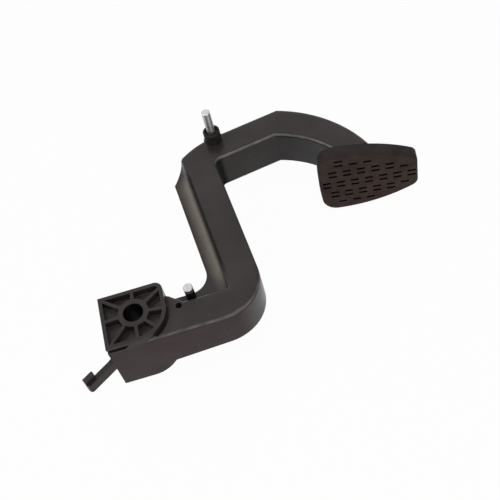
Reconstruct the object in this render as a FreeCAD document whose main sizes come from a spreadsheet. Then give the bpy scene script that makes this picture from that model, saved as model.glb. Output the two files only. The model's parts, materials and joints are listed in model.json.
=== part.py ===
import FreeCAD, Part
import math
import os
import re

import Sketcher
from FreeCAD import Rotation, Vector

# Clutch pedal: a one-piece plastic lever with its rubber pad, its stop pin and its pushrod pin.
# Millimetres. The origin is the middle of the pivot bore, +Z runs along the bore,
# and +X along the lower limb. The lever's top face is the one on the +Z side.

SIZES = {
    # Pivot hub
    "hub_length": 62,
    "hub_left": 28.4,
    "hub_back": 23.6,
    "hub_radius": 28.4,
    "hub_corner_radius": 7,
    "hub_recess": 7,
    "rim_wall": 3.4,
    "rim_step": 5,
    "rib_wall": 2.8,
    "boss_diameter": 27,
    "bore_diameter": 17.6,
    "moat_width": 2.4,
    "moat_depth": 4,
    "slot_length": 20,
    "slot_height": 4.5,
    "slot_depth": 2.5,
    # Arm of the lever
    "arm_width": 29.5,
    "arm_depth": 37.8,
    "arm_depth_at_hub": 43.3,
    "arm_edge_radius": 3.6,
    "elbow_x": 115.6,
    "elbow_radius": 39,
    "inner_corner_radius": 3,
    "mid_lean": 4.7,
    "upper_y": 166.9,
    "upper_rise": 8.9,
    "knee_side_y": 156.5,
    "knee_corner_radius": 5,
    "knee_crown_offset": 38.66,
    "knee_crown_radius": 75,
    "knee_inner_radius": 6,
    "bend_x": 172.2,
    "bend_setback": 8.7,
    "bend_inner_radius": 5,
    "last_outer_radius": 127,
    "last_inner_radius": 98,
    "last_width": 33.8,
    "side_hole_x": 38.5,
    "side_hole_inset": 4,
    "side_hole_diameter": 5.6,
    "side_hole_depth": 20,
    # Cells that lighten the underside
    "core_wall": 4,
    "core_skin": 4,
    "core_rib": 3,
    # Side flange
    "flange_drop": 15,
    "flange_width": 13.8,
    "flange_corner_radius": 17,
    "flange_end_y": 138,
    "cove_radius": 11.5,
    # Hooked tongue at the hub
    "tongue_drop": 10,
    "tongue_height": 10.4,
    "tongue_reach": 29,
    "tongue_wall": 5,
    "tongue_angle": 34,
    "tongue_tip_radius": 3,
    "tongue_root_radius": 10,
    "hook_length": 10.5,
    "hook_rise": 8.7,
    "hook_lip": 2.4,
    # Foot plate and pad
    "foot_x": 226.1,
    "foot_y": 112.7,
    "foot_turn": 9,
    "pad_left": 32,
    "pad_right": 59.2,
    "pad_mid_z": -11.2,
    "pad_left_half": 38,
    "pad_right_half": 18.5,
    "pad_crown_radius": 140,
    "pad_side_radius": 300,
    "pad_left_corner": 15,
    "pad_right_corner": 9,
    "pad_depth": 13,
    "pad_skin": 5,
    "pad_wall": 3.5,
    "pad_edge_radius": 3.5,
    # Grip cuts in the pad's face, in staggered rows of pairs
    "grip_length": 7.6,
    "grip_width": 2.3,
    "grip_depth": 1.4,
    "grip_gap": 6,
    "grip_pitch": 13.4,
    "grip_row_pitch": 14.8,
    "grip_start": -0.6,
    "grip_drop": 0.3,
    "grip_margin": 5.5,
    # Stop pin and its sleeve
    "stop_pin_offset": 36.4,
    "stop_pin_inset": 4.74,
    "stop_pin_diameter": 8,
    "stop_shank_diameter": 8.8,
    "stop_pin_rise": 38.9,
    "stop_pin_seat": 24,
    "stop_pin_chamfer": 0.8,
    "stop_boss_radius": 9.5,
    "stop_sleeve_diameter": 16,
    "stop_sleeve_height": 13,
    "stop_sleeve_mouth": 12,
    "stop_sleeve_mouth_depth": 3,
    # Pushrod pin and its bush
    "pushrod_x": 50,
    "pushrod_y": 8.5,
    "pushrod_head_diameter": 8.4,
    "pushrod_neck_diameter": 6.2,
    "pushrod_rise": 21,
    "pushrod_head_height": 4.6,
    "pushrod_groove": 1.5,
    "pushrod_seat": 16,
    "pushrod_chamfer": 0.8,
}

# Lengths that follow from the driving sizes, written in their names.
DERIVED = {
    "arm_top": "hub_length / 2 - rim_step",
    "hub_front": "hub_radius",
    "arm_back": "arm_width - hub_front",
    "lean": "tan(mid_lean)",
    "rise": "tan(upper_rise)",
    "mid_left": "elbow_x - arm_width / cos(mid_lean)",
    "knee_x": "mid_left - (upper_y + hub_front) * lean",
    "upper_drop": "arm_width / cos(upper_rise)",
    "knee_crown_x": "knee_x + knee_crown_offset",
    "knee_inner_line": "upper_y - upper_drop + (elbow_x - hub_front * lean - knee_x) * rise",
    "knee_inner_y": "knee_inner_line / (1 + lean * rise)",
    "bend_inner_x": "bend_x - bend_setback",
    "bend_inner_y": "upper_y - upper_drop + (bend_inner_x - knee_x) * rise",
    "flange_top": "arm_top - flange_drop",
    "tongue_top": "arm_top - tongue_drop - hook_rise",
    "stop_pin_x": "knee_x + stop_pin_offset",
    "stop_pin_y": "upper_y + stop_pin_offset * rise - stop_pin_inset",
}

# How close two places are to be the same one.
NEAR = 0.01

# How many cells lighten each limb's underside.
LOWER_CELLS = 2
MID_CELLS = 4
UPPER_CELLS = 2

# Angles of the hub's eight ribs, from +X.
RIB_ANGLES = (85, 33, -8, -49, -90, -133, -177, 141)

doc = FreeCAD.newDocument("clutch_pedal")
sheet = doc.addObject("Spreadsheet::Sheet", "Sizes")


def fill_sheet():
    for row, (name, size) in enumerate(SIZES.items(), start=1):
        sheet.set(f"A{row}", name)
        sheet.set(f"B{row}", str(size))
        sheet.setAlias(f"B{row}", name)
    doc.recompute()


def formula(text):
    """Write an expression of size names as one that reads the sheet."""
    def spelt_out(word):
        return f"({DERIVED[word[0]]})" if word[0] in DERIVED else word[0]

    def in_sheet(word):
        return f"Sizes.{word[0]}" if word[0] in SIZES else word[0]

    for _ in DERIVED:
        text = re.sub(r"\b[a-z_]+\b", spelt_out, text)
    return re.sub(r"\b[a-z_]+\b", in_sheet, text)


def number(text):
    return float(sheet.evalExpression(formula(text)))


def bind(item, field, text):
    item.setExpression(field, formula(text))


def new_body(label):
    body = doc.addObject("PartDesign::Body", label)
    body.Label = label
    return body


def new_sketch(body, name, level="0", plane="XY_Plane"):
    sketch = body.newObject("Sketcher::SketchObject", name)
    support = next(item for item in body.Origin.OriginFeatures if item.Role == plane)
    sketch.AttachmentSupport = (support, [""])
    sketch.MapMode = "FlatFace"
    bind(sketch, "AttachmentOffset.Base.z", level)
    return sketch


def foot_sketch(body, name, forward):
    """A sketch parallel to the foot plate, so far in front of the arm's end. Its axes are the
    plate's length and +Z, from the middle of the arm's end."""
    sketch = new_sketch(body, name, plane="XZ_Plane")
    turned = Rotation(Vector(0, 1, 0), -number("foot_turn"))
    sketch.AttachmentOffset = FreeCAD.Placement(Vector(), turned)
    bind(sketch, "AttachmentOffset.Base.x", f"foot_x - ({forward}) * sin(foot_turn)")
    bind(sketch, "AttachmentOffset.Base.z", f"-foot_y + ({forward}) * cos(foot_turn)")
    bind(sketch, "AttachmentOffset.Rotation.Angle", "-foot_turn")
    return sketch


def constrain(sketch, kind, places, text):
    index = sketch.addConstraint(Sketcher.Constraint(kind, *places, number(text)))
    sketch.setExpression(f"Constraints[{index}]", formula(text))


def arc_side(start, end, radius, outward):
    """The minor arc from start to end. An outward arc turns left, an inward one turns right."""
    chord = end - start
    left = Vector(-chord.y, chord.x, 0).normalize()
    reach = math.sqrt(radius ** 2 - chord.Length ** 2 / 4)
    centre = (start + end) / 2 + left * (reach if outward else -reach)
    first, last = (start, end) if outward else (end, start)
    turn_first, turn_last = (math.atan2(p.y - centre.y, p.x - centre.x) for p in (first, last))
    if turn_last < turn_first:
        turn_last += 2 * math.pi
    return Part.ArcOfCircle(Part.Circle(centre, Vector(0, 0, 1), radius), turn_first, turn_last)


def outline(sketch, corners):
    """A closed outline, counter-clockwise. A corner is (x, y), or (x, y, radius) where the side
    after it is an arc, or (x, y, radius, "in") where that arc bends inwards."""
    base = sketch.GeometryCount
    points = [Vector(number(corner[0]), number(corner[1]), 0) for corner in corners]
    ends = []
    for index, corner in enumerate(corners):
        start = points[index]
        end = points[(index + 1) % len(points)]
        inward = len(corner) == 4
        if len(corner) == 2:
            sketch.addGeometry(Part.LineSegment(start, end))
        else:
            sketch.addGeometry(arc_side(start, end, number(corner[2]), not inward))
        ends.append((2, 1) if inward else (1, 2))
    for index, corner in enumerate(corners):
        after = (index + 1) % len(corners)
        side = base + index
        joined = (side, ends[index][1], base + after, ends[after][0])
        sketch.addConstraint(Sketcher.Constraint("Coincident", *joined))
        constrain(sketch, "DistanceX", (-1, 1, side, ends[index][0]), corner[0])
        constrain(sketch, "DistanceY", (-1, 1, side, ends[index][0]), corner[1])
        if len(corner) > 2:
            constrain(sketch, "Radius", (side,), corner[2])


def circle(sketch, x, y, diameter):
    centre = Vector(number(x), number(y), 0)
    side = sketch.addGeometry(Part.Circle(centre, Vector(0, 0, 1), number(diameter) / 2))
    constrain(sketch, "DistanceX", (-1, 1, side, 3), x)
    constrain(sketch, "DistanceY", (-1, 1, side, 3), y)
    constrain(sketch, "Diameter", (side,), diameter)


def extrude(body, kind, sketch, length, reverse=False):
    """A Pad grows from its sketch towards the sketch's normal, and a Pocket cuts the other way."""
    before = body.Shape.Volume if kind == "Pocket" else 0.0
    feature = body.newObject(f"PartDesign::{kind}", sketch.Name.replace("outline", kind.lower()))
    feature.Profile = sketch
    feature.Reversed = reverse
    bind(feature, "Length", length)
    doc.recompute()
    if kind == "Pocket" and feature.Shape.Volume >= before:
        raise RuntimeError(f"{feature.Name} cut nothing")
    return feature


def revolve(body, sketch):
    feature = body.newObject("PartDesign::Revolution", sketch.Name.replace("outline", "turning"))
    feature.Profile = sketch
    feature.ReferenceAxis = (sketch, ["V_Axis"])
    doc.recompute()
    return feature


def fillet(body, name, radius, chosen):
    base = body.Tip
    edges = [f"Edge{index}" for index, edge in enumerate(base.Shape.Edges, start=1) if chosen(edge)]
    if not edges:
        raise RuntimeError(f"{name} found no edge")
    feature = body.newObject("PartDesign::Fillet", name)
    feature.Base = (base, edges)
    bind(feature, "Radius", radius)
    doc.recompute()
    return feature


def upright_at(x, y):
    """Chooses the straight edge along Z at a place in plan."""
    place = Vector(number(x), number(y), 0)

    def chosen(edge):
        ends = [vertex.Point for vertex in edge.Vertexes]
        return len(ends) == 2 and all(math.hypot(p.x - place.x, p.y - place.y) < NEAR for p in ends)
    return chosen


def mid_limb_x(y, outwards="0"):
    """X of the middle limb's left side at a height y, or of a line so far outside it."""
    return f"mid_left - ({outwards}) / cos(mid_lean) - ({y} + hub_front) * lean"


def last_limb_ends():
    """Inner and outer corner of the last limb where it meets the foot plate."""
    half = "last_width / 2"
    inner = (f"foot_x - {half} * cos(foot_turn)", f"foot_y + {half} * sin(foot_turn)")
    outer = (f"foot_x + {half} * cos(foot_turn)", f"foot_y - {half} * sin(foot_turn)")
    return inner, outer


def lever_arm(body):
    sketch = new_sketch(body, "arm_outline", "arm_top")
    knee_inner = ("elbow_x - (knee_inner_y + hub_front) * lean", "knee_inner_y")
    knee_side = (mid_limb_x("knee_side_y"), "knee_side_y")
    inner_corner = (mid_limb_x("arm_back"), "arm_back")
    inner_end, outer_end = last_limb_ends()
    outline(sketch, [
        ("0", "-hub_front"),
        ("elbow_x", "-hub_front"),
        knee_inner,
        ("bend_inner_x", "bend_inner_y", "last_inner_radius", "in"),
        inner_end,
        outer_end + ("last_outer_radius",),
        ("bend_x", "upper_y + (bend_x - knee_x) * rise"),
        ("knee_crown_x", "upper_y + (knee_crown_x - knee_x) * rise", "knee_crown_radius"),
        knee_side,
        inner_corner,
        ("hub_radius + arm_width / 2", "arm_back"),
        ("hub_radius - hub_corner_radius / 2", "hub_back - hub_corner_radius"),
        ("0", "hub_back - hub_corner_radius"),
    ])
    extrude(body, "Pad", sketch, "arm_depth_at_hub", reverse=True)
    fillet(body, "elbow_round", "elbow_radius", upright_at("elbow_x", "-hub_front"))
    fillet(body, "knee_inner_round", "knee_inner_radius", upright_at(*knee_inner))
    fillet(body, "bend_inner_round", "bend_inner_radius", upright_at("bend_inner_x", "bend_inner_y"))
    fillet(body, "knee_corner_round", "knee_corner_radius", upright_at(*knee_side))
    fillet(body, "inner_corner_round", "inner_corner_radius", upright_at(*inner_corner))

    top = number("arm_top")
    hub_reach = number("hub_radius")
    foot = Vector(number("foot_x"), number("foot_y"), top)

    def top_edge(edge):
        middle = edge.valueAt((edge.FirstParameter + edge.LastParameter) / 2)
        level = all(abs(vertex.Point.z - top) < NEAR for vertex in edge.Vertexes)
        return level and middle.x > hub_reach and middle.distanceToPoint(foot) > NEAR
    fillet(body, "arm_edge_round", "arm_edge_radius", top_edge)


def side_flange(body):
    """The lower ledge inside the first bay, with a cove up to the middle limb's side."""
    edge_y = "arm_back + flange_width"
    corner = (mid_limb_x(edge_y, "flange_width"), edge_y)
    end_y = "knee_side_y"
    sketch = new_sketch(body, "flange_outline", "flange_top")
    outline(sketch, [
        ("hub_radius / 2", edge_y),
        ("hub_radius / 2", "0"),
        (mid_limb_x("0", "-arm_width / 3"), "0"),
        (mid_limb_x(end_y, "-arm_width / 3"), end_y),
        (mid_limb_x(end_y), end_y),
        (mid_limb_x("flange_end_y", "flange_width"), "flange_end_y"),
        corner,
    ])
    extrude(body, "Pad", sketch, "arm_depth_at_hub - flange_drop", reverse=True)
    fillet(body, "flange_corner_round", "flange_corner_radius", upright_at(*corner))

    cove = new_sketch(body, "cove_outline", plane="XZ_Plane")
    cove.AttachmentOffset = FreeCAD.Placement(Vector(), Rotation(Vector(0, 1, 0), number("mid_lean")))
    bind(cove, "AttachmentOffset.Base.x", mid_limb_x("0"))
    bind(cove, "AttachmentOffset.Rotation.Angle", "mid_lean")
    outline(cove, [
        ("cove_radius / 2", "flange_top - cove_radius / 2"),
        ("cove_radius / 2", "flange_top + cove_radius"),
        ("0", "flange_top + cove_radius", "cove_radius", "in"),
        ("-cove_radius", "flange_top"),
        ("-cove_radius", "flange_top - cove_radius / 2"),
    ])
    extrude(body, "Pad", cove, f"({end_y}) / cos(mid_lean)", reverse=True)

    trim = new_sketch(body, "flange_end_outline", "arm_top")
    outline(trim, [
        (mid_limb_x("flange_end_y", "flange_width"), "flange_end_y"),
        (mid_limb_x(end_y), end_y),
        (mid_limb_x(end_y, "2 * flange_width"), end_y),
    ])
    extrude(body, "Pocket", trim, "arm_depth_at_hub")


def base_taper(body):
    """The underside rises from the hub to the elbow and is level from there."""
    far_x = "2 * foot_x"
    below = "arm_top - 2 * arm_depth_at_hub"
    sketch = new_sketch(body, "taper_outline", "2 * hub_front", plane="XZ_Plane")
    outline(sketch, [
        ("hub_radius / 2", "arm_top - arm_depth_at_hub"),
        ("hub_radius / 2", below),
        (far_x, below),
        (far_x, "arm_top - arm_depth"),
        ("elbow_x - arm_width", "arm_top - arm_depth"),
    ])
    extrude(body, "Pocket", sketch, "2 * upper_y + 2 * hub_front")


def cell_span(start, end, count, index):
    """First and last place of one cell in a row of cells with a rib between each two."""
    pitch = f"(({end}) - ({start}) + core_rib) / {count}"
    first = f"({start}) + {index} * {pitch}"
    return first, f"{first} + {pitch} - core_rib"


def mid_cell_span(index):
    return cell_span("-hub_front + elbow_radius + core_rib", "flange_end_y - core_wall", MID_CELLS, index)


def arm_cells(body):
    """Open cells in the arm's underside, between its walls and cross ribs."""
    front = "-hub_front + core_wall"
    back = "arm_back - core_wall"
    turn_x = "elbow_x - elbow_radius"
    turn_y = "-hub_front + elbow_radius"
    sketch = new_sketch(body, "arm_cell_outline", "arm_top - arm_depth_at_hub")
    hole_end = "side_hole_x + 2 * side_hole_diameter"
    for index in range(LOWER_CELLS):
        first, last = cell_span(hole_end, f"{turn_x} - core_rib", LOWER_CELLS, index)
        outline(sketch, [(first, front), (last, front), (last, back), (first, back)])
    outline(sketch, [
        (turn_x, front, "elbow_radius - core_wall"),
        (mid_limb_x(turn_y, "core_wall - arm_width"), turn_y),
        (mid_limb_x(turn_y, "-core_wall"), turn_y),
    ])
    for index in range(MID_CELLS):
        first, last = mid_cell_span(index)
        outline(sketch, [
            (mid_limb_x(first, "-core_wall"), first),
            (mid_limb_x(first, "core_wall - arm_width"), first),
            (mid_limb_x(last, "core_wall - arm_width"), last),
            (mid_limb_x(last, "-core_wall"), last),
        ])
    for index in range(UPPER_CELLS):
        first, last = cell_span("stop_pin_x + stop_boss_radius + core_wall", "bend_inner_x - core_wall",
                                UPPER_CELLS, index)
        low = "upper_y - upper_drop + core_wall"
        high = "upper_y - core_wall"
        outline(sketch, [
            (first, f"{low} + ({first} - knee_x) * rise"),
            (last, f"{low} + ({last} - knee_x) * rise"),
            (last, f"{high} + ({last} - knee_x) * rise"),
            (first, f"{high} + ({first} - knee_x) * rise"),
        ])
    extrude(body, "Pocket", sketch, "arm_depth_at_hub - core_skin", reverse=True)


def flange_cells(body):
    sketch = new_sketch(body, "flange_cell_outline", "arm_top - arm_depth_at_hub")
    for index in range(1, MID_CELLS):
        first, last = mid_cell_span(index)
        outline(sketch, [
            (mid_limb_x(first, "flange_width - core_wall"), first),
            (mid_limb_x(first), first),
            (mid_limb_x(last), last),
            (mid_limb_x(last, "flange_width - core_wall"), last),
        ])
    extrude(body, "Pocket", sketch, "arm_depth_at_hub - flange_drop - core_skin", reverse=True)


def hub_moat(body):
    """The groove in the arm's top round the hub's right side."""
    outer = "hub_radius + moat_width"
    sketch = new_sketch(body, "moat_outline", "arm_top")
    outline(sketch, [
        ("0", "-hub_radius / 2"),
        (f"({outer}) / 2", f"-({outer}) * sqrt(3) / 2", outer),
        (outer, "0"),
        (outer, "hub_back"),
        ("0", "hub_back"),
    ])
    extrude(body, "Pocket", sketch, "moat_depth")


def rib_reach(angle):
    """How far the hub's wall is from the bore's axis along a rib."""
    if -90 <= angle <= 0:
        return "hub_radius"
    across = "hub_radius" if abs(angle) < 90 else "hub_left"
    along = "hub_back" if angle > 0 else "hub_front"
    return f"min({across} / abs(cos({angle})); {along} / max(abs(sin({angle})); {NEAR}))"


def pivot_hub(body):
    face = "hub_length / 2"
    sketch = new_sketch(body, "hub_outline", face)
    outline(sketch, [
        ("-hub_left", "-hub_radius"),
        ("0", "-hub_radius", "hub_radius"),
        ("hub_radius", "0"),
        ("hub_radius", "hub_back"),
        ("-hub_left", "hub_back"),
    ])
    extrude(body, "Pad", sketch, "hub_length", reverse=True)
    fillet(body, "hub_corner_round", "hub_corner_radius", upright_at("hub_radius", "hub_back"))

    recess = new_sketch(body, "recess_outline", face)
    outline(recess, [
        ("-hub_left + rim_wall", "-hub_radius + rim_wall"),
        ("0", "-hub_radius + rim_wall", "hub_radius - rim_wall"),
        ("hub_radius - rim_wall", "0"),
        ("hub_radius - rim_wall", "hub_back - hub_corner_radius", "hub_corner_radius - rim_wall"),
        ("hub_radius - hub_corner_radius", "hub_back - rim_wall"),
        ("-hub_left + rim_wall", "hub_back - rim_wall"),
    ])
    circle(recess, "0", "0", "boss_diameter")
    recess_cut = extrude(body, "Pocket", recess, "hub_recess")

    ribs = new_sketch(body, "rib_outline", f"{face} - hub_recess")
    near = "(boss_diameter / 2 - rib_wall / 2)"
    for angle in RIB_ANGLES:
        far = f"({rib_reach(angle)} - rim_wall / 2)"
        half = "rib_wall / 2"
        outline(ribs, [
            (f"{reach} * cos({angle}) - {side} {half} * sin({angle})",
             f"{reach} * sin({angle}) + {side} {half} * cos({angle})")
            for reach, side in ((near, "-"), (far, "-"), (far, ""), (near, ""))
        ])
    rib_pad = extrude(body, "Pad", ribs, "hub_recess")

    mirror = body.newObject("PartDesign::Mirrored", "recess_mirror")
    mirror.Originals = [recess_cut, rib_pad]
    mirror.MirrorPlane = (next(i for i in body.Origin.OriginFeatures if i.Role == "XY_Plane"), [""])
    body.Tip = mirror
    doc.recompute()

    bore = new_sketch(body, "bore_outline", face)
    circle(bore, "0", "0", "bore_diameter")
    extrude(body, "Pocket", bore, "hub_length")

    slot = new_sketch(body, "slot_outline", "hub_front", plane="XZ_Plane")
    slot_top = "arm_top + rim_step / 2"
    outline(slot, [
        ("-hub_left - slot_depth", f"{slot_top} - slot_height"),
        ("-hub_left + slot_length - slot_height", f"{slot_top} - slot_height"),
        ("-hub_left + slot_length", slot_top),
        ("-hub_left - slot_depth", slot_top),
    ])
    extrude(body, "Pocket", slot, "slot_depth")


def hooked_tongue(body):
    def place(along, across):
        x = f"-hub_left - ({along}) * cos(tongue_angle) - ({across}) * sin(tongue_angle)"
        y = f"-hub_front - ({along}) * sin(tongue_angle) + ({across}) * cos(tongue_angle)"
        return x, y

    sketch = new_sketch(body, "tongue_outline", "tongue_top")
    near_tip = place("tongue_reach", "0")
    far_tip = place("tongue_reach", "tongue_wall")
    outline(sketch, [
        place("-2 * tongue_wall", "0"),
        place("-2 * tongue_wall", "tongue_wall"),
        far_tip,
        near_tip,
    ])
    extrude(body, "Pad", sketch, "tongue_height", reverse=True)
    fillet(body, "tongue_tip_round", "tongue_tip_radius", upright_at(*near_tip))
    root = ("-hub_left", "-hub_front + tongue_wall / cos(tongue_angle)")
    fillet(body, "tongue_root_round", "tongue_root_radius", upright_at(*root))

    hook = new_sketch(body, "hook_outline", "tongue_top - tongue_height / 2")
    outline(hook, [
        place("tongue_reach - hook_length", "tongue_wall - hook_lip"),
        place("tongue_reach - hook_length", "tongue_wall"),
        far_tip,
        place("tongue_reach", "tongue_wall - hook_lip"),
    ])
    extrude(body, "Pad", hook, "hook_rise + tongue_height / 2")


def pad_outline(sketch, inset):
    left = f"-pad_left + {inset}"
    right = f"pad_right - {inset}"
    corners = [
        (left, f"pad_mid_z - pad_left_half + {inset}"),
        (right, f"pad_mid_z - pad_right_half + {inset}"),
        (right, f"pad_mid_z + pad_right_half - {inset}"),
        (left, f"pad_mid_z + pad_left_half - {inset}"),
    ]
    radii = ("pad_crown_radius", None, "pad_crown_radius", "pad_side_radius")
    sides = [corner + ((radius,) if radius else ()) for corner, radius in zip(corners, radii)]
    outline(sketch, sides)


def round_pad_corners(body, name, inset):
    turn = math.radians(number("foot_turn"))
    along = Vector(math.cos(turn), -math.sin(turn), 0)
    foot = Vector(number("foot_x"), number("foot_y"), 0)
    for side, end, radius in (("left", -1, "pad_left_corner"), ("right", 1, "pad_right_corner")):
        reach = number(f"pad_{side} - {inset}") * end

        def corner_edge(edge, reach=reach):
            places = [(vertex.Point - foot).dot(along) for vertex in edge.Vertexes]
            upright = abs(edge.Vertexes[0].Point.z - edge.Vertexes[-1].Point.z) < NEAR
            beside = len(places) == 2 and all(abs(place - reach) < NEAR for place in places)
            return beside and upright and edge.Length > 1
        fillet(body, f"{name}_{side}_round", f"{radius} - {inset}", corner_edge)


def foot_plate(body):
    sketch = foot_sketch(body, "plate_outline", "0")
    pad_outline(sketch, "pad_wall")
    extrude(body, "Pad", sketch, "pad_depth - pad_skin")
    round_pad_corners(body, "plate", "pad_wall")


def drill(body, name, level, x, y, diameter, depth):
    sketch = new_sketch(body, f"{name}_outline", level)
    circle(sketch, x, y, diameter)
    extrude(body, "Pocket", sketch, depth)


def pedal_lever():
    body = new_body("pedal_lever")
    lever_arm(body)
    side_flange(body)
    base_taper(body)
    boss = new_sketch(body, "stop_boss_outline", "arm_top")
    circle(boss, "stop_pin_x", "stop_pin_y", "2 * stop_boss_radius")
    extrude(body, "Pad", boss, "arm_depth", reverse=True)
    arm_cells(body)
    flange_cells(body)
    hub_moat(body)
    pivot_hub(body)
    hooked_tongue(body)
    foot_plate(body)
    drill(body, "stop_seat", "arm_top", "stop_pin_x", "stop_pin_y",
          "stop_shank_diameter", "stop_pin_seat")
    drill(body, "pushrod_seat", "flange_top", "pushrod_x", "pushrod_y",
          "pushrod_neck_diameter", "pushrod_seat")
    drill(body, "side_hole", "arm_top", "side_hole_x", "arm_back - side_hole_inset",
          "side_hole_diameter", "side_hole_depth")
    return body


def half_height(along):
    """Half the pad's height at a place along it, from the crowned line of its upper edge."""
    share = (along + number("pad_left")) / number("pad_left + pad_right")
    fall = number("pad_left_half - pad_right_half")
    chord = math.hypot(number("pad_left + pad_right"), fall)
    radius = number("pad_crown_radius")
    crown = radius - math.sqrt(radius ** 2 - chord ** 2 / 4)
    return number("pad_left_half") - share * fall + 4 * crown * share * (1 - share)


def grip_fits(along, off_middle):
    """True where a grip cut lies on the pad's face, clear of its rounded edge and corners."""
    half = number("grip_length / 2")
    reach = abs(off_middle) + number("grip_width / 2")
    near_end = along < number("pad_left_corner - pad_left")
    in_corner = near_end and reach > number("pad_left_half - pad_left_corner")
    below_edge = reach < min(half_height(along - half), half_height(along + half)) - number("grip_margin")
    before_end = along + half < number("pad_right - pad_edge_radius / 2")
    return below_edge and before_end and not in_corner


def grip_cuts(body):
    """Staggered rows of grip cuts, each row in a sketch of its own."""
    for row in range(-2, 3):
        sketch = foot_sketch(body, f"grip_row_{row + 3}_outline", "pad_depth")
        for step in range(-2, 5):
            along = f"grip_start + {step + row % 2 / 2} * grip_pitch"
            for side in (-1, 1):
                up = f"{row} * grip_row_pitch - grip_drop + {side} * grip_gap / 2"
                if grip_fits(number(along), number(up)):
                    outline(sketch, [
                        (f"{along} + {x} * grip_length / 2", f"pad_mid_z + {up} + {y} * grip_width / 2")
                        for x, y in ((-1, -1), (1, -1), (1, 1), (-1, 1))
                    ])
        extrude(body, "Pocket", sketch, "grip_depth")


def pedal_pad():
    body = new_body("pedal_pad")
    sketch = foot_sketch(body, "pad_outline", "0")
    pad_outline(sketch, "0")
    extrude(body, "Pad", sketch, "pad_depth")
    round_pad_corners(body, "pad", "0")

    turn = math.radians(number("foot_turn"))
    forward = Vector(-math.sin(turn), -math.cos(turn), 0)
    face = Vector(number("foot_x"), number("foot_y"), 0) + forward * number("pad_depth")

    def face_edge(edge):
        return all(abs((vertex.Point - face).dot(forward)) < NEAR for vertex in edge.Vertexes)
    fillet(body, "pad_edge_round", "pad_edge_radius", face_edge)

    hollow = foot_sketch(body, "hollow_outline", "0")
    pad_outline(hollow, "pad_wall")
    extrude(body, "Pocket", hollow, "pad_depth - pad_skin", reverse=True)
    grip_cuts(body)
    return body


def turned(label, x, y, profile):
    """A body turned about an upright axis from its half section, (radius, height) corners."""
    body = new_body(label)
    sketch = new_sketch(body, f"{label}_outline", f"-({y})", plane="XZ_Plane")
    bind(sketch, "AttachmentOffset.Base.x", x)
    outline(sketch, profile)
    revolve(body, sketch)
    return body


def stop_pin():
    foot = "arm_top - stop_pin_seat"
    step = "arm_top + stop_sleeve_height - stop_sleeve_mouth_depth"
    top = "arm_top + stop_pin_rise"
    return turned("stop_pin", "stop_pin_x", "stop_pin_y", [
        ("0", foot),
        ("stop_shank_diameter / 2", foot),
        ("stop_shank_diameter / 2", step),
        ("stop_pin_diameter / 2", step),
        ("stop_pin_diameter / 2", f"{top} - stop_pin_chamfer"),
        ("stop_pin_diameter / 2 - stop_pin_chamfer", top),
        ("0", top),
    ])


def stop_sleeve():
    top = "arm_top + stop_sleeve_height"
    lip = "(stop_sleeve_diameter - stop_sleeve_mouth) / 4"
    return turned("stop_sleeve", "stop_pin_x", "stop_pin_y", [
        ("stop_shank_diameter / 2", "arm_top"),
        ("stop_sleeve_diameter / 2", "arm_top"),
        ("stop_sleeve_diameter / 2", f"{top} - {lip}"),
        (f"stop_sleeve_diameter / 2 - {lip}", top),
        ("stop_sleeve_mouth / 2", top),
        ("stop_sleeve_mouth / 2", f"{top} - stop_sleeve_mouth_depth"),
        ("stop_shank_diameter / 2", f"{top} - stop_sleeve_mouth_depth"),
    ])


def pushrod_pin():
    foot = "flange_top - pushrod_seat"
    top = "flange_top + pushrod_rise"
    neck = "pushrod_neck_diameter / 2"
    head = "pushrod_head_diameter / 2"
    return turned("pushrod_pin", "pushrod_x", "pushrod_y", [
        ("0", foot),
        (neck, foot),
        (neck, f"{top} - pushrod_head_height"),
        (head, f"{top} - pushrod_head_height"),
        (head, f"{top} - pushrod_chamfer"),
        (f"{head} - pushrod_chamfer", top),
        ("0", top),
    ])


def pushrod_bush():
    top = "flange_top + pushrod_rise - pushrod_head_height - pushrod_groove"
    return turned("pushrod_bush", "pushrod_x", "pushrod_y", [
        ("pushrod_neck_diameter / 2", "flange_top"),
        ("pushrod_head_diameter / 2", "flange_top"),
        ("pushrod_head_diameter / 2", top),
        ("pushrod_neck_diameter / 2", top),
    ])


def check_and_write(bodies):
    doc.recompute()
    for item in doc.Objects:
        if {"Invalid", "Error"} & set(item.State):
            raise RuntimeError(f"{item.Name} failed: {item.State}")
    os.makedirs("parts", exist_ok=True)
    for body in bodies:
        if body.Shape.isNull() or not body.Shape.isValid() or len(body.Shape.Solids) != 1:
            raise RuntimeError(f"{body.Label} is not one valid solid")
        print(body.Label, round(body.Shape.Volume), body.Shape.BoundBox)
    for body in bodies:
        body.Shape.exportStep(f"parts/{body.Label}.step")


fill_sheet()
check_and_write([pedal_lever(), pedal_pad(), stop_pin(), stop_sleeve(), pushrod_pin(), pushrod_bush()])
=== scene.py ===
import json
import math

import bpy
from mathutils import Matrix, Vector

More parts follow.
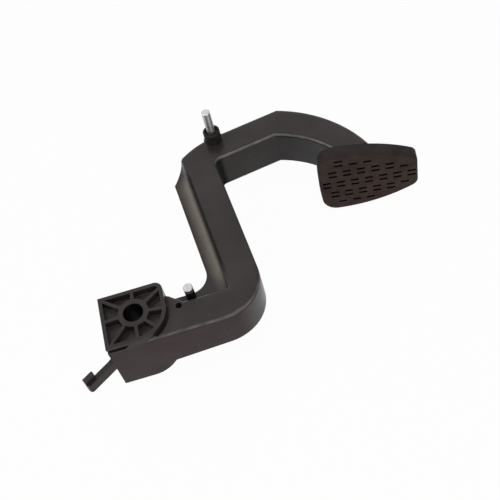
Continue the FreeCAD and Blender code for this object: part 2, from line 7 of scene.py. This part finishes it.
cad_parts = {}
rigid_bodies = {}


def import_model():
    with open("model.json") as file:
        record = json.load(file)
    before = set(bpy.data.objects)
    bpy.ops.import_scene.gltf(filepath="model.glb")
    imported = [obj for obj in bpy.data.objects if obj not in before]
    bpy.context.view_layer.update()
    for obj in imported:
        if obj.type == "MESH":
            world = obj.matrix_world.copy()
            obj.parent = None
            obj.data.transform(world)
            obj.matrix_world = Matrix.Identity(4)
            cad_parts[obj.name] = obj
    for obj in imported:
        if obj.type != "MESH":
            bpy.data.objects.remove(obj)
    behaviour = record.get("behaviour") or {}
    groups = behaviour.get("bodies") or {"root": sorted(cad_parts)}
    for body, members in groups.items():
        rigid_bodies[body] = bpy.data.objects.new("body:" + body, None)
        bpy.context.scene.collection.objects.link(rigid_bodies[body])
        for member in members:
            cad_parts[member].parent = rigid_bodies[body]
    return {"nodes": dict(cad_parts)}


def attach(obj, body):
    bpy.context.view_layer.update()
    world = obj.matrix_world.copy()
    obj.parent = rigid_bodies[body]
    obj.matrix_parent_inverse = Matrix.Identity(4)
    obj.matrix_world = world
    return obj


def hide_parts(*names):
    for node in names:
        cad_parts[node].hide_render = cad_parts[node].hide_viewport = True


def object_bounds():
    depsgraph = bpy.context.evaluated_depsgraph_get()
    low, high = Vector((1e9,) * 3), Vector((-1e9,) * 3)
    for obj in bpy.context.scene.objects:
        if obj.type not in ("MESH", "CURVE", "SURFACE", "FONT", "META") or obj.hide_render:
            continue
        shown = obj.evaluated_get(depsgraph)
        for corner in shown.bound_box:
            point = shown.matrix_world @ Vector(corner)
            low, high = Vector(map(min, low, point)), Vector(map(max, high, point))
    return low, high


# Clutch pedal: the moulded lever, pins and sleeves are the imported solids, and the rubber pad is
# modelled over its solid. Metres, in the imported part's own frame.

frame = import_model()
cad_low, cad_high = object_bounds()
nodes = frame["nodes"]

# Directions
ALONG_X = (1, 0, 0)
ALONG_Y = (0, 1, 0)
UP = (0, 0, 1)
FRONT = (0, -1, 0)
LAST_INNER_SIDE = (-0.6, -0.8, 0)
FOOT_TURN = math.radians(9)
PAD_FORWARD = Vector((-math.sin(FOOT_TURN), -math.cos(FOOT_TURN), 0))
MID_LEAN = math.radians(4.7)
ACROSS_MID = (1, math.tan(MID_LEAN), 0)

# Places on the lever and the pad
PIVOT = (0, 0, 0)
BORE_RADIUS = 0.0090
FRONT_WALL_Y = -0.0284
MID_SIDE = 0.0837
KNEE_INNER = (0.1016, 0.1420, 0)
BEND_INNER_X = 0.1635
FLANGE_TOP = 0.011
ARM_TOP = 0.026
SLEEVE_MOUTH = 0.0366
PAD_DEPTH = 0.013
PAD_FACE_POINT = Vector((0.2261, 0.1127, 0)) + PAD_FORWARD * PAD_DEPTH
PAD_EDGE_ROUNDING = 0.00042
CUT_FLOOR_DEPTHS = (0.001, 0.002)
STEPS_TO_CUT_RIM = 5

# Colours of wear, and of painted light and shade
RUBBED_PLASTIC = (0.13, 0.12, 0.115)
# Painted highlight along the rounded front edges of the arm
EDGE_HIGHLIGHT = (0.145, 0.139, 0.139)
# Painted light in the cove beside the middle limb
COVE_LIGHT = (0.192, 0.172, 0.144)
# Painted shade, dull brown, on the front walls
FRONT_WALL_SHADE = (0.050, 0.0285, 0.0285)
# Painted shade on the last limb's inner wall
LAST_WALL_SHADE = (0.007, 0.006, 0.0065)
# Painted shade, near black, along the cove's edge and in the knee's corner
SHADE_BLACK = (0.006, 0.005, 0.005)
# Painted shade inside the pivot bore
BORE_SHADE = (0.004, 0.0034, 0.0034)
# Painted shade on the pins at their roots
PIN_ROOT_SHADE = (0.012, 0.011, 0.010)

# Studio
FLOOR_WHITE = 0.965
PART_MIDDLE = (0.11, 0.07, 0)
CAMERA_TARGET = Vector((0.1099, 0.0315, 0.026))
CAMERA_DISTANCE = 0.8091
CAMERA_LIFT = math.radians(54.515)
CAMERA_TURN = math.radians(-16.434)


class Finish:
    """One material and the short ways to add and join its nodes."""

    def __init__(self, name):
        self.material = bpy.data.materials.new(name)
        self.material.use_nodes = True
        self.tree = self.material.node_tree
        self.shader = self.tree.nodes["Principled BSDF"]
        self.coords = self.tree.nodes.new("ShaderNodeTexCoord")

    def node(self, kind, **fields):
        made = self.tree.nodes.new(kind)
        for field, setting in fields.items():
            setattr(made, field, setting)
        return made

    def join(self, output, socket):
        self.tree.links.new(output, socket)

    def feed(self, name, output):
        self.join(output, self.shader.inputs[name])

    def noise(self, scale, detail=3.0, stretch=(1, 1, 1)):
        """Noise over the object's own coordinates, drawn out along its axes by stretch."""
        mapping = self.node("ShaderNodeMapping")
        mapping.inputs["Scale"].default_value = stretch
        self.join(self.coords.outputs["Object"], mapping.inputs["Vector"])
        noise = self.node("ShaderNodeTexNoise")
        noise.inputs["Scale"].default_value = scale
        noise.inputs["Detail"].default_value = detail
        self.join(mapping.outputs["Vector"], noise.inputs["Vector"])
        return noise.outputs["Fac"]

    def ramp(self, value, low, high, dark, light):
        """A colour or grey that goes from dark at low to light at high."""
        ramp = self.node("ShaderNodeValToRGB")
        first, last = ramp.color_ramp.elements
        first.position, first.color = low, (*dark, 1)
        last.position, last.color = high, (*light, 1)
        self.join(value, ramp.inputs["Fac"])
        return ramp.outputs["Color"]

    def grey(self, value, low, high, dark, light):
        return self.ramp(value, low, high, (dark,) * 3, (light,) * 3)

    def blend(self, share, below, above):
        mix = self.node("ShaderNodeMix", data_type="RGBA")
        self.join(share, mix.inputs["Factor"])
        for source, socket in ((below, mix.inputs["A"]), (above, mix.inputs["B"])):
            if isinstance(source, tuple):
                socket.default_value = (*source, 1)
            else:
                self.join(source, socket)
        return mix.outputs["Result"]

    def bump(self, height, distance, strength, under=None):
        bump = self.node("ShaderNodeBump")
        bump.inputs["Distance"].default_value = distance
        bump.inputs["Strength"].default_value = strength
        self.join(height, bump.inputs["Height"])
        if under:
            self.join(under, bump.inputs["Normal"])
        return bump.outputs["Normal"]

    def combine(self, operation, first, second):
        both = self.node("ShaderNodeMath", operation=operation)
        self.join(first, both.inputs[0])
        self.join(second, both.inputs[1])
        return both.outputs["Value"]

    def product(self, share, *others):
        for other in others:
            share = self.combine("MULTIPLY", share, other)
        return share

    def larger(self, first, second):
        return self.combine("MAXIMUM", first, second)

    def fade(self, value, none, full):
        """0 where the value is at none and 1 where it is at full. Either may be the larger one."""
        share = self.node("ShaderNodeMapRange")
        share.inputs["From Min"].default_value = none
        share.inputs["From Max"].default_value = full
        self.join(value, share.inputs["Value"])
        return share.outputs["Result"]

    def within(self, value, low, high, soft_low, soft_high):
        """1 between low and high, fading out over the soft lengths outside them."""
        rising = self.fade(value, low - soft_low, low)
        falling = self.fade(value, high + soft_high, high)
        return self.product(rising, falling)

    def dot(self, coordinate, direction):
        dot = self.node("ShaderNodeVectorMath", operation="DOT_PRODUCT")
        dot.inputs[1].default_value = direction
        self.join(self.coords.outputs[coordinate], dot.inputs[0])
        return dot.outputs["Value"]

    def along(self, direction):
        """How far each point lies along a direction from the pivot's middle."""
        return self.dot("Object", direction)

    def facing(self, direction):
        """How squarely the surface faces a direction, 1 at most."""
        return self.dot("Normal", direction)

    def near_upright(self, foot, inside, outside):
        """1 inside the first distance from an upright line, 0 outside the second."""
        offset = self.node("ShaderNodeVectorMath", operation="SUBTRACT")
        offset.inputs[1].default_value = foot
        self.join(self.coords.outputs["Object"], offset.inputs[0])
        flat = self.node("ShaderNodeVectorMath", operation="MULTIPLY")
        flat.inputs[1].default_value = (1, 1, 0)
        self.join(offset.outputs["Vector"], flat.inputs[0])
        reach = self.node("ShaderNodeVectorMath", operation="LENGTH")
        self.join(flat.outputs["Vector"], reach.inputs[0])
        return self.fade(reach.outputs["Value"], outside, inside)

    def edge_share(self, radius, low, high):
        """A share that rises on convex and concave edges, for handling wear."""
        rounded = self.node("ShaderNodeBevel")
        rounded.inputs["Radius"].default_value = radius
        sharp = self.node("ShaderNodeNewGeometry")
        dot = self.node("ShaderNodeVectorMath", operation="DOT_PRODUCT")
        self.join(rounded.outputs["Normal"], dot.inputs[0])
        self.join(sharp.outputs["Normal"], dot.inputs[1])
        return self.grey(dot.outputs["Value"], low, high, 1, 0)


def cove_light(finish, across, length):
    """Share of the pale painted light in the cove beside the middle limb, strongest up its steep
    side, where it faces the left light.
    """
    rising = finish.fade(across, MID_SIDE - 0.0125, MID_SIDE - 0.0035)
    falling = finish.fade(across, MID_SIDE + 0.0002, MID_SIDE - 0.0018)
    above = finish.fade(finish.along(UP), FLANGE_TOP - 0.0015, FLANGE_TOP - 0.0005)
    blotched = finish.grey(finish.noise(70, 4, (1, 0.35, 1)), 0.25, 0.65, 0.65, 1)
    return finish.product(rising, falling, length, above, blotched)


def edge_shade_line(finish, across, length):
    """Share of the dull black painted shade that follows the middle limb's edge over the cove."""
    strip = finish.within(across, MID_SIDE + 0.0004, MID_SIDE + 0.0022, 0.0008, 0.0012)
    above = finish.fade(finish.along(UP), ARM_TOP - 0.0065, ARM_TOP - 0.0050)
    return finish.product(strip, length, above)


def knee_corner_shade(finish):
    """Share of the black painted shade in the knee's inner corner, below the arm's top."""
    corner = finish.near_upright(KNEE_INNER, 0.0045, 0.0095)
    below = finish.fade(finish.along(UP), ARM_TOP - 0.0008, ARM_TOP - 0.0025)
    return finish.product(corner, below)


def front_edge_highlight(finish):
    """Share of the painted highlight along the rounded front edges of the arm, patchy along its
    length.
    """
    height = finish.within(finish.along(UP), ARM_TOP - 0.0016, ARM_TOP - 0.0006, 0.0008, 0.0003)
    rounded = finish.fade(finish.facing(UP), 0.2, 0.45)
    front = finish.fade(finish.facing(FRONT), 0.15, 0.35)
    uneven = finish.grey(finish.noise(120, 3), 0.35, 0.65, 0.4, 0.95)
    return finish.product(height, rounded, front, uneven)


def last_wall_shade(finish):
    """Share of the painted shade on the last limb's inner wall, from the bend to the pad."""
    below = finish.fade(finish.along(UP), ARM_TOP - 0.0020, ARM_TOP - 0.0035)
    past_bend = finish.fade(finish.along(ALONG_X), BEND_INNER_X - 0.0010, BEND_INNER_X + 0.0015)
    inner = finish.fade(finish.facing(LAST_INNER_SIDE), 0.0, 0.3)
    uneven = finish.grey(finish.noise(80, 3), 0.35, 0.65, 0.45, 0.7)
    return finish.product(below, past_bend, inner, uneven)


def front_wall_shade(finish):
    """Share of the dull brown painted shade on the hub's and the lower limb's front walls, which
    also lowers their reflection.
    """
    front = finish.fade(finish.facing(FRONT), 0.75, 0.95)
    outside = finish.fade(finish.along(ALONG_Y), FRONT_WALL_Y + 0.0084, FRONT_WALL_Y + 0.0024)
    below = finish.fade(finish.along(UP), ARM_TOP - 0.0020, ARM_TOP - 0.0040)
    uneven = finish.grey(finish.noise(45, 4), 0.3, 0.7, 0.6, 1)
    return finish.product(front, outside, below, uneven)


def moulded_plastic():
    """Glass-filled plastic with a fine spark grain, pale flow marks and rubbed edges, with painted
    light and shade: a highlight along the front edges, light in the cove, and shade on the front
    walls, the last limb's inner wall, the cove's edge, the knee's corner and the bore.
    """
    finish = Finish("moulded_plastic")
    cloud = finish.noise(26, 5)
    body = finish.ramp(cloud, 0.34, 0.68, (0.0245, 0.0189, 0.0195), (0.043, 0.0343, 0.0352))
    scuffs = finish.grey(finish.noise(420, 2, (0.12, 0.12, 1)), 0.62, 0.8, 0, 0.3)
    body = finish.blend(scuffs, body, (0.055, 0.050, 0.048))
    rubbed = finish.edge_share(0.0008, 0.93, 0.995)
    patchy = finish.grey(finish.noise(130, 3), 0.42, 0.68, 0.0, 0.45)
    body = finish.blend(finish.product(rubbed, patchy), body, RUBBED_PLASTIC)
    # Painted shade on the front walls, with less reflection there
    brown = front_wall_shade(finish)
    body = finish.blend(brown, body, FRONT_WALL_SHADE)
    finish.feed("Specular IOR Level", finish.blend(brown, (0.2,) * 3, (0.1,) * 3))
    # Painted shade on the last limb's inner wall past the bend
    body = finish.blend(last_wall_shade(finish), body, LAST_WALL_SHADE)
    # Painted highlight along the arm's rounded front edges
    body = finish.blend(front_edge_highlight(finish), body, EDGE_HIGHLIGHT)
    across = finish.along(ACROSS_MID)
    length = finish.within(finish.along(ALONG_Y), 0.028, 0.130, 0.024, 0.015)
    # Pale painted light in the cove beside the middle limb
    body = finish.blend(cove_light(finish, across, length), body, COVE_LIGHT)
    # Painted shade along the cove's edge and in the knee's corner, made dull so that no highlight
    # shows there
    painted_shade = finish.larger(edge_shade_line(finish, across, length), knee_corner_shade(finish))
    body = finish.blend(painted_shade, body, SHADE_BLACK)
    # Painted shade: the pivot bore's wall near black
    bore = finish.near_upright(PIVOT, BORE_RADIUS, BORE_RADIUS + 0.0003)
    finish.feed("Base Color", finish.blend(bore, body, BORE_SHADE))
    sheen = finish.grey(finish.noise(60, 4), 0.3, 0.7, 0.25, 0.36)
    finish.feed("Roughness", finish.blend(painted_shade, sheen, (0.85,) * 3))
    flow = finish.bump(finish.noise(90, 2), 0.0004, 0.12)
    grain = finish.bump(finish.noise(1900, 2), 0.00003, 0.22, flow)
    finish.feed("Normal", grain)
    return finish.material


def pad_rubber():
    """Brown-black rubber, browner on the trodden face."""
    finish = Finish("pad_rubber")
    finish.shader.inputs["Specular IOR Level"].default_value = 0.08
    cloud = finish.noise(70, 4)
    rim = finish.ramp(cloud, 0.35, 0.7, (0.027, 0.022, 0.021), (0.041, 0.0335, 0.032))
    face = finish.ramp(cloud, 0.35, 0.7, (0.046, 0.0318, 0.0288), (0.067, 0.048, 0.0435))
    trodden = finish.grey(finish.facing(PAD_FORWARD), 0.75, 0.98, 0, 1)
    finish.feed("Base Color", finish.blend(trodden, rim, face))
    finish.feed("Roughness", finish.grey(finish.noise(200, 3), 0.3, 0.7, 0.62, 0.78))
    finish.feed("Normal", finish.bump(finish.noise(1500, 3), 0.0001, 0.5))
    return finish.material


def cut_rubber():
    """Near-black rubber on the floors and walls of the grip cuts, as painted shade in the cuts."""
    finish = Finish("cut_rubber")
    finish.shader.inputs["Specular IOR Level"].default_value = 0.03
    painted_shade = finish.noise(400, 3)
    cut_shade = finish.ramp(painted_shade, 0.35, 0.7, (0.0025, 0.0018, 0.0018), (0.006, 0.0045, 0.0045))
    finish.feed("Base Color", cut_shade)
    finish.feed("Roughness", finish.grey(painted_shade, 0.3, 0.7, 0.75, 0.9))
    return finish.material


def turned_steel(name, shaded_below):
    """Bright plated steel with the lathe's fine rings round it, painted near black below a given
    height as shade at its root.
    """
    finish = Finish(name)
    finish.shader.inputs["Metallic"].default_value = 1.0
    cloud = finish.noise(300, 3)
    plating = finish.ramp(cloud, 0.3, 0.7, (0.43, 0.43, 0.43), (0.53, 0.53, 0.525))
    # Painted shade below the given height, at the pin's root
    root_shade = finish.fade(finish.along(UP), shaded_below + 0.0004, shaded_below)
    finish.feed("Base Color", finish.blend(root_shade, plating, PIN_ROOT_SHADE))
    finish.feed("Roughness", finish.grey(cloud, 0.3, 0.7, 0.40, 0.46))
    rings = finish.noise(450, 2, (0.02, 0.02, 2.5))
    finish.feed("Normal", finish.bump(rings, 0.00005, 0.04))
    return finish.material


def black_rubber():
    finish = Finish("black_rubber")
    finish.shader.inputs["Specular IOR Level"].default_value = 0.1
    cloud = finish.noise(250, 3)
    skin = finish.ramp(cloud, 0.35, 0.7, (0.016, 0.016, 0.0145), (0.028, 0.028, 0.025))
    finish.feed("Base Color", skin)
    finish.feed("Roughness", finish.grey(cloud, 0.3, 0.7, 0.5, 0.68))
    finish.feed("Normal", finish.bump(finish.noise(1800, 2), 0.00008, 0.4))
    return finish.material


def bush_plastic():
    finish = Finish("bush_plastic")
    finish.shader.inputs["Specular IOR Level"].default_value = 0.12
    cloud = finish.noise(400, 2)
    finish.feed("Base Color", finish.grey(cloud, 0.35, 0.7, 0.008, 0.014))
    finish.feed("Roughness", finish.grey(cloud, 0.3, 0.7, 0.34, 0.48))
    finish.feed("Normal", finish.bump(finish.noise(2200, 2), 0.00004, 0.4))
    return finish.material


def dress(piece, material):
    piece.data.materials.clear()
    piece.data.materials.append(material)


def paint_grip_cuts(pad):
    """Gives the floors and walls of the grip cuts their own darker rubber, as painted shade in the
    cuts.
    """
    dress(pad, pad_rubber())
    pad.data.materials.append(cut_rubber())
    bpy.ops.object.mode_set(mode="EDIT")
    bpy.ops.mesh.select_mode(type="FACE")
    bpy.ops.mesh.select_all(action="DESELECT")
    bpy.ops.object.mode_set(mode="OBJECT")
    shallow, deep = CUT_FLOOR_DEPTHS
    for face in pad.data.polygons:
        sunk = (PAD_FACE_POINT - face.center).dot(PAD_FORWARD)
        face.select = face.normal.dot(PAD_FORWARD) > 0.99 and shallow < sunk < deep
    bpy.ops.object.mode_set(mode="EDIT")
    for _ in range(STEPS_TO_CUT_RIM):
        bpy.ops.mesh.select_more(use_face_step=False)
    pad.active_material_index = 1
    bpy.ops.object.material_slot_assign()
    bpy.ops.object.mode_set(mode="OBJECT")


def rubber_pad():
    """The pad's solid with its loose triangles joined and every moulded edge softened."""
    pad = bpy.data.objects.new("rubber_pad", nodes["pedal_pad"].data.copy())
    bpy.context.scene.collection.objects.link(pad)
    bpy.ops.object.select_all(action="DESELECT")
    bpy.context.view_layer.objects.active = pad
    pad.select_set(True)
    bpy.ops.object.mode_set(mode="EDIT")
    bpy.ops.mesh.select_all(action="SELECT")
    bpy.ops.mesh.remove_doubles(threshold=1e-6)
    bpy.ops.mesh.customdata_custom_splitnormals_clear()
    bpy.ops.mesh.dissolve_limited(angle_limit=math.radians(0.5))
    bpy.ops.mesh.select_all(action="DESELECT")
    bpy.ops.mesh.select_mode(type="EDGE")
    bpy.ops.mesh.edges_select_sharp(sharpness=math.radians(50))
    bpy.ops.mesh.bevel(offset=PAD_EDGE_ROUNDING, segments=2, clamp_overlap=True)
    bpy.ops.object.mode_set(mode="OBJECT")
    paint_grip_cuts(pad)
    bpy.ops.object.shade_smooth_by_angle(angle=math.radians(35))
    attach(pad, "root")
    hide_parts("pedal_pad")


def sees_studio(tree):
    """1 for rays from the camera, mirrors and clear things, which see the white studio."""
    path = tree.nodes.new("ShaderNodeLightPath")
    share = path.outputs["Is Camera Ray"]
    for ray in ("Is Glossy Ray", "Is Transmission Ray"):
        either = tree.nodes.new("ShaderNodeMath")
        either.operation = "MAXIMUM"
        tree.links.new(share, either.inputs[0])
        tree.links.new(path.outputs[ray], either.inputs[1])
        share = either.outputs["Value"]
    return share


def studio_floor():
    bpy.ops.mesh.primitive_plane_add(size=30, location=(0.1, 0.1, cad_low.z - 0.001))
    floor = bpy.context.active_object
    floor.name = "studio_floor"
    material = bpy.data.materials.new("white_floor")
    material.use_nodes = True
    tree = material.node_tree
    matt = tree.nodes["Principled BSDF"]
    matt.inputs["Base Color"].default_value = (0.8, 0.78, 0.77, 1)
    matt.inputs["Roughness"].default_value = 0.9
    white = tree.nodes.new("ShaderNodeEmission")
    part = tree.nodes.new("ShaderNodeMath")
    part.operation = "MULTIPLY"
    part.inputs[1].default_value = FLOOR_WHITE
    tree.links.new(sees_studio(tree), part.inputs[0])
    mix = tree.nodes.new("ShaderNodeMixShader")
    tree.links.new(part.outputs["Value"], mix.inputs["Fac"])
    tree.links.new(matt.outputs["BSDF"], mix.inputs[1])
    tree.links.new(white.outputs["Emission"], mix.inputs[2])
    tree.links.new(mix.outputs["Shader"], tree.nodes["Material Output"].inputs["Surface"])
    dress(floor, material)


def studio_world():
    world = bpy.data.worlds.new("studio")
    bpy.context.scene.world = world
    world.use_nodes = True
    tree = world.node_tree
    soft = tree.nodes["Background"]
    soft.inputs["Color"].default_value = (1, 0.985, 0.97, 1)
    soft.inputs["Strength"].default_value = 0.2
    white = tree.nodes.new("ShaderNodeBackground")
    white.inputs["Color"].default_value = (1, 1, 1, 1)
    mix = tree.nodes.new("ShaderNodeMixShader")
    tree.links.new(sees_studio(tree), mix.inputs["Fac"])
    tree.links.new(soft.outputs["Background"], mix.inputs[1])
    tree.links.new(white.outputs["Background"], mix.inputs[2])
    tree.links.new(mix.outputs["Shader"], tree.nodes["World Output"].inputs["Surface"])


def softbox(name, place, aim, width, power, tint=(1, 1, 1)):
    bpy.ops.object.light_add(type="AREA", location=place)
    box = bpy.context.active_object
    box.name = name
    box.data.size = width
    box.data.energy = power
    box.data.color = tint
    box.rotation_euler = (Vector(aim) - Vector(place)).to_track_quat("-Z", "Y").to_euler()


def camera():
    bpy.ops.object.camera_add()
    shot = bpy.context.active_object
    shot.name = "photo_camera"
    shot.data.lens = 66.96
    shot.data.sensor_width = 36
    back = Vector((0, -math.cos(CAMERA_LIFT), math.sin(CAMERA_LIFT)))
    tilt = Matrix.Rotation(math.pi / 2 - CAMERA_LIFT, 4, "X")
    roll = Matrix.Rotation(CAMERA_TURN, 4, "Z")
    place = Matrix.Translation(CAMERA_TARGET + back * CAMERA_DISTANCE)
    shot.matrix_world = place @ tilt @ roll
    bpy.context.scene.camera = shot


dress(nodes["pedal_lever"], moulded_plastic())
dress(nodes["stop_pin"], turned_steel("stop_pin_steel", SLEEVE_MOUTH))
dress(nodes["pushrod_pin"], turned_steel("pushrod_pin_steel", 0.0))
dress(nodes["stop_sleeve"], black_rubber())
dress(nodes["pushrod_bush"], bush_plastic())
rubber_pad()

bpy.ops.object.select_all(action="DESELECT")
studio_floor()
studio_world()
softbox("left_softbox", (-0.9, 0.1, 0.95), PART_MIDDLE, 0.8, 6, (1, 0.98, 0.95))
softbox("top_softbox", (0.3, -0.25, 1.3), PART_MIDDLE, 0.35, 5.6)
softbox("front_softbox", (0.5, -1.0, 0.75), PART_MIDDLE, 0.9, 2.3, (1, 0.84, 0.82))
softbox("back_softbox", (0.4, 1.4, 1.1), PART_MIDDLE, 1.6, 3)
camera()
bpy.context.scene.view_settings.view_transform = "Standard"
